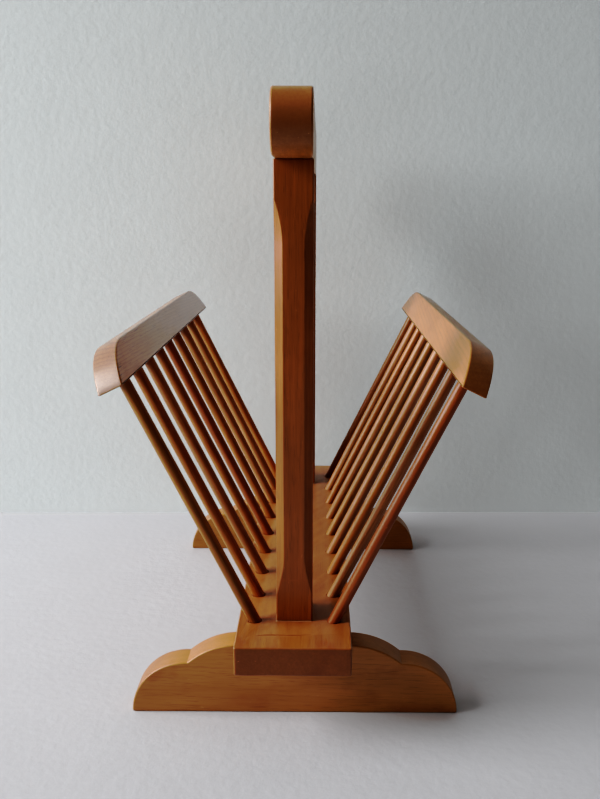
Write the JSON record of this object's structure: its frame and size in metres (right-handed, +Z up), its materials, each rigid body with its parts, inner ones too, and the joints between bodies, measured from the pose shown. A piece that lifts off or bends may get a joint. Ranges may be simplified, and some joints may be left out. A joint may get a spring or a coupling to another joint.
{
  "type": "magazine rack",
  "caption": "Free-standing wooden magazine rack: leaning spindle sides with cap rails on a board with shaped feet, and a handle rail on two uprights.",
  "frame": {"origin": "middle of the rectangle around the two feet, on the floor", "axes": "+Z up; +Y along the board from the front foot to the rear foot; +X to the right seen from the front"},
  "size_m": [0.2778, 0.414, 0.4559],
  "materials": {
    "frame_wood": "warm orange-brown hardwood, satin varnish",
    "rail_wood": "brown hardwood with open lengthwise grain, satin varnish",
    "spindle_wood": "turned hardwood dowel, streaky grain, semi-gloss varnish",
    "screw_steel": "plain slotted wood screw"
  },
  "bodies": {
    "root": {"base_board": "frame_wood", "front_foot": "frame_wood", "rear_foot": "frame_wood", "front_upright": "frame_wood", "rear_upright": "frame_wood", "handle_rail": "frame_wood", "left_cap_rail": "rail_wood", "right_cap_rail": "rail_wood", "foot_screws": "screw_steel", "left_spindle_1": "spindle_wood", "left_spindle_2": "spindle_wood", "left_spindle_3": "spindle_wood", "left_spindle_4": "spindle_wood", "left_spindle_5": "spindle_wood", "left_spindle_6": "spindle_wood", "left_spindle_7": "spindle_wood", "left_spindle_8": "spindle_wood", "left_spindle_9": "spindle_wood", "right_spindle_1": "spindle_wood", "right_spindle_2": "spindle_wood", "right_spindle_3": "spindle_wood", "right_spindle_4": "spindle_wood", "right_spindle_5": "spindle_wood", "right_spindle_6": "spindle_wood", "right_spindle_7": "spindle_wood", "right_spindle_8": "spindle_wood", "right_spindle_9": "spindle_wood"}
  },
  "joints": []
}
